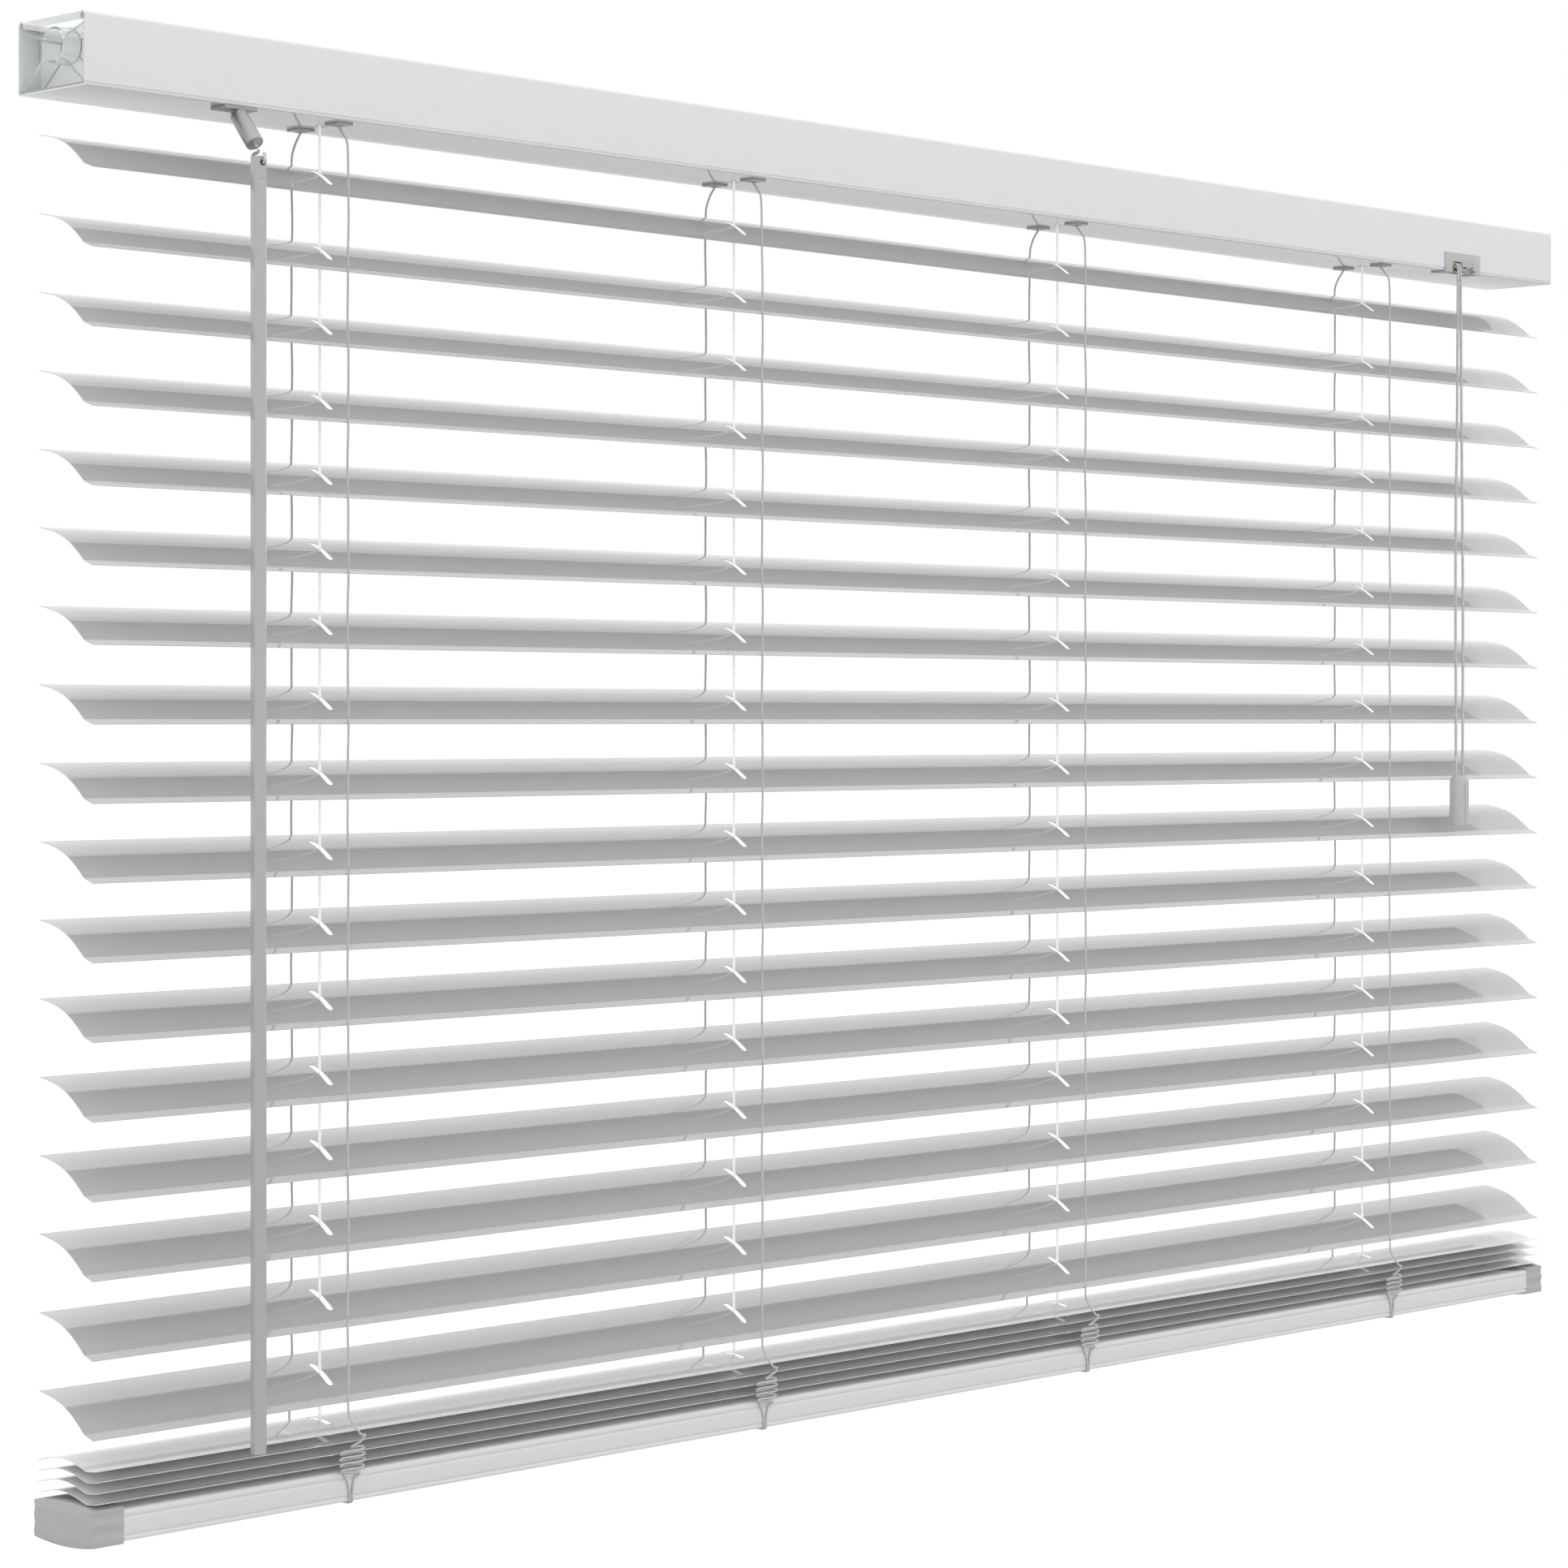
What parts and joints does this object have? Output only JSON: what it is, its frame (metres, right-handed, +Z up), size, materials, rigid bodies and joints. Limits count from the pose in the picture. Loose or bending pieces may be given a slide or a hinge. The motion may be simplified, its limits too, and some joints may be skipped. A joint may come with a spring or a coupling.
{
  "type": "venetian blind",
  "caption": "Horizontal slat window blind with an open-topped head rail, ladder cords, tilt wand, cord lock, pull cords and a capped bottom rail.",
  "frame": {"origin": "centre of the head rail's back face, mid-length and mid-height", "axes": "+X along the blind to the right as seen from the room, +Y towards the wall or window, +Z up"},
  "size_m": [1.32, 0.077, 0.7805],
  "materials": {
    "rail_paint": "satin white enamel",
    "slat_paint": "satin white enamel",
    "base_paint": "satin white enamel",
    "cap_plastic": "matt moulded",
    "clear_plastic": "clear moulded",
    "white_plastic": "moulded",
    "lock_plastic": "moulded",
    "gear_plastic": "moulded acetal",
    "lift_cord": "braided polyester",
    "ladder_cord": "braided polyester",
    "pull_cord": "braided polyester",
    "tassel_plastic": "moulded",
    "wand_plastic": "clear moulded",
    "nickel": "nickel plated",
    "steel": "zinc plated",
    "brass": "turned"
  },
  "bodies": {
    "frame": {"head_rail": "rail_paint", "end_cap_left": "clear_plastic", "end_cap_right": "clear_plastic", "drum_cradles": "white_plastic", "cord_bushings": "clear_plastic", "tilter_housing": "white_plastic", "cord_lock_body": "lock_plastic", "lift_cords_upper": "lift_cord", "ladder_tops": "ladder_cord"},
    "tilt_shaft": {"tilt_rod": "steel", "ladder_drums": "white_plastic", "worm_wheel": "gear_plastic"},
    "worm": {"worm_stem": "gear_plastic", "wand_sleeve": "nickel"},
    "wand_link": {"wand_hook": "nickel"},
    "wand": {"wand": "wand_plastic"},
    "roller": {"lock_roller": "brass"},
    "pawl": {"lock_pawl": "steel"},
    "slat_01": {"slat_01": "slat_paint"},
    "ladder_front": {"ladder_fronts": "ladder_cord"},
    "ladder_rear": {"ladder_rears": "ladder_cord"},
    "bottom": {"bottom_rail": "base_paint", "bottom_cap_left": "cap_plastic", "bottom_cap_right": "cap_plastic", "bottom_plugs": "white_plastic", "stacked_slats": "slat_paint", "cord_tails": "lift_cord"},
    "slat_17": {"slat_17": "slat_paint"},
    "pull": {"pull_cords": "pull_cord", "tassel": "tassel_plastic"},
    "lift_02": {"lift_bay_02": "lift_cord"},
    "slat_02": {"slat_02": "slat_paint"},
    "lift_03": {"lift_bay_03": "lift_cord"},
    "slat_03": {"slat_03": "slat_paint"},
    "lift_04": {"lift_bay_04": "lift_cord"},
    "slat_04": {"slat_04": "slat_paint"},
    "lift_05": {"lift_bay_05": "lift_cord"},
    "slat_05": {"slat_05": "slat_paint"},
    "lift_06": {"lift_bay_06": "lift_cord"},
    "slat_06": {"slat_06": "slat_paint"},
    "lift_07": {"lift_bay_07": "lift_cord"},
    "slat_07": {"slat_07": "slat_paint"},
    "lift_08": {"lift_bay_08": "lift_cord"},
    "slat_08": {"slat_08": "slat_paint"},
    "lift_09": {"lift_bay_09": "lift_cord"},
    "slat_09": {"slat_09": "slat_paint"},
    "lift_10": {"lift_bay_10": "lift_cord"},
    "slat_10": {"slat_10": "slat_paint"},
    "lift_11": {"lift_bay_11": "lift_cord"},
    "slat_11": {"slat_11": "slat_paint"},
    "lift_12": {"lift_bay_12": "lift_cord"},
    "slat_12": {"slat_12": "slat_paint"},
    "lift_13": {"lift_bay_13": "lift_cord"},
    "slat_13": {"slat_13": "slat_paint"},
    "lift_14": {"lift_bay_14": "lift_cord"},
    "slat_14": {"slat_14": "slat_paint"},
    "lift_15": {"lift_bay_15": "lift_cord"},
    "slat_15": {"slat_15": "slat_paint"},
    "lift_16": {"lift_bay_16": "lift_cord"},
    "slat_16": {"slat_16": "slat_paint"}
  },
  "joints": [
    {"name": "slat_tilt", "type": "hinge", "parent": "frame", "child": "slat_01", "pos_m": [0, -0.0285, -0.0487], "axis": [1, 0, 0], "range_deg": [-84, 36], "deforming": ["ladder_tops", "cord_tails"]},
    {"name": "blind_lift", "type": "slide", "parent": "frame", "child": "bottom", "axis": [0, 0, 1], "range_m": [0, 0.5568], "deforming": ["lift_bay_02", "lift_bay_03", "lift_bay_04", "lift_bay_05", "lift_bay_06", "lift_bay_07", "lift_bay_08", "lift_bay_09", "lift_bay_10", "lift_bay_11", "lift_bay_12", "lift_bay_13", "lift_bay_14", "lift_bay_15", "lift_bay_16", "ladder_fronts", "ladder_rears", "lift_cords_upper"]},
    {"name": "lift_02", "type": "slide", "parent": "frame", "child": "lift_02", "axis": [0, 0, 1], "range_m": [0, 0.0348]},
    {"name": "lift_03", "type": "slide", "parent": "frame", "child": "lift_03", "axis": [0, 0, 1], "range_m": [0, 0.0696]},
    {"name": "lift_04", "type": "slide", "parent": "frame", "child": "lift_04", "axis": [0, 0, 1], "range_m": [0, 0.1044]},
    {"name": "lift_05", "type": "slide", "parent": "frame", "child": "lift_05", "axis": [0, 0, 1], "range_m": [0, 0.1392]},
    {"name": "lift_06", "type": "slide", "parent": "frame", "child": "lift_06", "axis": [0, 0, 1], "range_m": [0, 0.174]},
    {"name": "lift_07", "type": "slide", "parent": "frame", "child": "lift_07", "axis": [0, 0, 1], "range_m": [0, 0.2088]},
    {"name": "lift_08", "type": "slide", "parent": "frame", "child": "lift_08", "axis": [0, 0, 1], "range_m": [0, 0.2436]},
    {"name": "lift_09", "type": "slide", "parent": "frame", "child": "lift_09", "axis": [0, 0, 1], "range_m": [0, 0.2784]},
    {"name": "lift_10", "type": "slide", "parent": "frame", "child": "lift_10", "axis": [0, 0, 1], "range_m": [0, 0.3132]},
    {"name": "lift_11", "type": "slide", "parent": "frame", "child": "lift_11", "axis": [0, 0, 1], "range_m": [0, 0.348]},
    {"name": "lift_12", "type": "slide", "parent": "frame", "child": "lift_12", "axis": [0, 0, 1], "range_m": [0, 0.3828]},
    {"name": "lift_13", "type": "slide", "parent": "frame", "child": "lift_13", "axis": [0, 0, 1], "range_m": [0, 0.4176]},
    {"name": "lift_14", "type": "slide", "parent": "frame", "child": "lift_14", "axis": [0, 0, 1], "range_m": [0, 0.4524]},
    {"name": "lift_15", "type": "slide", "parent": "frame", "child": "lift_15", "axis": [0, 0, 1], "range_m": [0, 0.4872]},
    {"name": "lift_16", "type": "slide", "parent": "frame", "child": "lift_16", "axis": [0, 0, 1], "range_m": [0, 0.522]},
    {"name": "tilt_02", "type": "hinge", "parent": "lift_02", "child": "slat_02", "pos_m": [0, -0.0285, -0.0891], "axis": [1, 0, 0], "range_deg": [-84, 36]},
    {"name": "tilt_03", "type": "hinge", "parent": "lift_03", "child": "slat_03", "pos_m": [0, -0.0285, -0.1295], "axis": [1, 0, 0], "range_deg": [-84, 36]},
    {"name": "tilt_04", "type": "hinge", "parent": "lift_04", "child": "slat_04", "pos_m": [0, -0.0285, -0.1699], "axis": [1, 0, 0], "range_deg": [-84, 36]},
    {"name": "tilt_05", "type": "hinge", "parent": "lift_05", "child": "slat_05", "pos_m": [0, -0.0285, -0.2103], "axis": [1, 0, 0], "range_deg": [-84, 36]},
    {"name": "tilt_06", "type": "hinge", "parent": "lift_06", "child": "slat_06", "pos_m": [0, -0.0285, -0.2507], "axis": [1, 0, 0], "range_deg": [-84, 36]},
    {"name": "tilt_07", "type": "hinge", "parent": "lift_07", "child": "slat_07", "pos_m": [0, -0.0285, -0.2911], "axis": [1, 0, 0], "range_deg": [-84, 36]},
    {"name": "tilt_08", "type": "hinge", "parent": "lift_08", "child": "slat_08", "pos_m": [0, -0.0285, -0.3315], "axis": [1, 0, 0], "range_deg": [-84, 36]},
    {"name": "tilt_09", "type": "hinge", "parent": "lift_09", "child": "slat_09", "pos_m": [0, -0.0285, -0.3719], "axis": [1, 0, 0], "range_deg": [-84, 36]},
    {"name": "tilt_10", "type": "hinge", "parent": "lift_10", "child": "slat_10", "pos_m": [0, -0.0285, -0.4123], "axis": [1, 0, 0], "range_deg": [-84, 36]},
    {"name": "tilt_11", "type": "hinge", "parent": "lift_11", "child": "slat_11", "pos_m": [0, -0.0285, -0.4527], "axis": [1, 0, 0], "range_deg": [-84, 36]},
    {"name": "tilt_12", "type": "hinge", "parent": "lift_12", "child": "slat_12", "pos_m": [0, -0.0285, -0.4931], "axis": [1, 0, 0], "range_deg": [-84, 36]},
    {"name": "tilt_13", "type": "hinge", "parent": "lift_13", "child": "slat_13", "pos_m": [0, -0.0285, -0.5335], "axis": [1, 0, 0], "range_deg": [-84, 36]},
    {"name": "tilt_14", "type": "hinge", "parent": "lift_14", "child": "slat_14", "pos_m": [0, -0.0285, -0.5739], "axis": [1, 0, 0], "range_deg": [-84, 36]},
    {"name": "tilt_15", "type": "hinge", "parent": "lift_15", "child": "slat_15", "pos_m": [0, -0.0285, -0.6143], "axis": [1, 0, 0], "range_deg": [-84, 36]},
    {"name": "tilt_16", "type": "hinge", "parent": "lift_16", "child": "slat_16", "pos_m": [0, -0.0285, -0.6547], "axis": [1, 0, 0], "range_deg": [-84, 36]},
    {"name": "tilt_17", "type": "hinge", "parent": "bottom", "child": "slat_17", "pos_m": [0, -0.0285, -0.6951], "axis": [1, 0, 0], "range_deg": [-84, 36]},
    {"name": "ladder_front_link", "type": "hinge", "parent": "slat_01", "child": "ladder_front", "pos_m": [0, -0.05134, -0.05887], "axis": [1, 0, 0], "range_deg": [-36, 84]},
    {"name": "ladder_rear_link", "type": "hinge", "parent": "slat_01", "child": "ladder_rear", "pos_m": [0, -0.00566, -0.03853], "axis": [1, 0, 0], "range_deg": [-36, 84]},
    {"name": "shaft_turn", "type": "hinge", "parent": "frame", "child": "tilt_shaft", "pos_m": [0, -0.0285, -0.006], "axis": [1, 0, 0], "range_deg": [-168, 72]},
    {"name": "stem_spin", "type": "hinge", "parent": "frame", "child": "worm", "pos_m": [-0.56, -0.0506, -0.019], "axis": [0, -0.6428, -0.766], "range_deg": [-2520, 1080]},
    {"name": "wand_spin", "type": "hinge", "parent": "frame", "child": "wand_link", "pos_m": [-0.56, -0.071, -0.04331], "axis": [0, 0, -1], "range_deg": [-2520, 1080]},
    {"name": "wand_swing", "type": "hinge", "parent": "wand_link", "child": "wand", "pos_m": [-0.56, -0.071, -0.05021], "axis": [0, 1, 0], "range_deg": [-20, 20]},
    {"name": "pull_draw", "type": "slide", "parent": "frame", "child": "pull", "axis": [0, 0, -1], "range_m": [0, 0.5568], "deforming": ["pull_cords"]},
    {"name": "roller_turn", "type": "hinge", "parent": "frame", "child": "roller", "pos_m": [0.5464, -0.0551, -0.0172], "axis": [1, 0, 0], "range_deg": [0, 11394.7]},
    {"name": "lock_pawl", "type": "hinge", "parent": "frame", "child": "pawl", "pos_m": [0.5464, -0.0445, -0.0145], "axis": [1, 0, 0], "range_deg": [-20, 0]}
  ],
  "couplings": [
    {"joint": "lift_02", "follows": "blind_lift", "ratio": 0.0625},
    {"joint": "lift_03", "follows": "blind_lift", "ratio": 0.125},
    {"joint": "lift_04", "follows": "blind_lift", "ratio": 0.1875},
    {"joint": "lift_05", "follows": "blind_lift", "ratio": 0.25},
    {"joint": "lift_06", "follows": "blind_lift", "ratio": 0.3125},
    {"joint": "lift_07", "follows": "blind_lift", "ratio": 0.375},
    {"joint": "lift_08", "follows": "blind_lift", "ratio": 0.4375},
    {"joint": "lift_09", "follows": "blind_lift", "ratio": 0.5},
    {"joint": "lift_10", "follows": "blind_lift", "ratio": 0.5625},
    {"joint": "lift_11", "follows": "blind_lift", "ratio": 0.625},
    {"joint": "lift_12", "follows": "blind_lift", "ratio": 0.6875},
    {"joint": "lift_13", "follows": "blind_lift", "ratio": 0.75},
    {"joint": "lift_14", "follows": "blind_lift", "ratio": 0.8125},
    {"joint": "lift_15", "follows": "blind_lift", "ratio": 0.875},
    {"joint": "lift_16", "follows": "blind_lift", "ratio": 0.9375},
    {"joint": "tilt_02", "follows": "slat_tilt", "ratio": 1},
    {"joint": "tilt_03", "follows": "slat_tilt", "ratio": 1},
    {"joint": "tilt_04", "follows": "slat_tilt", "ratio": 1},
    {"joint": "tilt_05", "follows": "slat_tilt", "ratio": 1},
    {"joint": "tilt_06", "follows": "slat_tilt", "ratio": 1},
    {"joint": "tilt_07", "follows": "slat_tilt", "ratio": 1},
    {"joint": "tilt_08", "follows": "slat_tilt", "ratio": 1},
    {"joint": "tilt_09", "follows": "slat_tilt", "ratio": 1},
    {"joint": "tilt_10", "follows": "slat_tilt", "ratio": 1},
    {"joint": "tilt_11", "follows": "slat_tilt", "ratio": 1},
    {"joint": "tilt_12", "follows": "slat_tilt", "ratio": 1},
    {"joint": "tilt_13", "follows": "slat_tilt", "ratio": 1},
    {"joint": "tilt_14", "follows": "slat_tilt", "ratio": 1},
    {"joint": "tilt_15", "follows": "slat_tilt", "ratio": 1},
    {"joint": "tilt_16", "follows": "slat_tilt", "ratio": 1},
    {"joint": "tilt_17", "follows": "slat_tilt", "ratio": 1},
    {"joint": "ladder_front_link", "follows": "slat_tilt", "ratio": -1},
    {"joint": "ladder_rear_link", "follows": "slat_tilt", "ratio": -1},
    {"joint": "shaft_turn", "follows": "slat_tilt", "ratio": 2},
    {"joint": "stem_spin", "follows": "slat_tilt", "ratio": 30},
    {"joint": "wand_spin", "follows": "slat_tilt", "ratio": 30},
    {"joint": "pull_draw", "follows": "blind_lift", "ratio": 1},
    {"joint": "roller_turn", "follows": "blind_lift", "rad_per_m": 357.14}
  ]
}
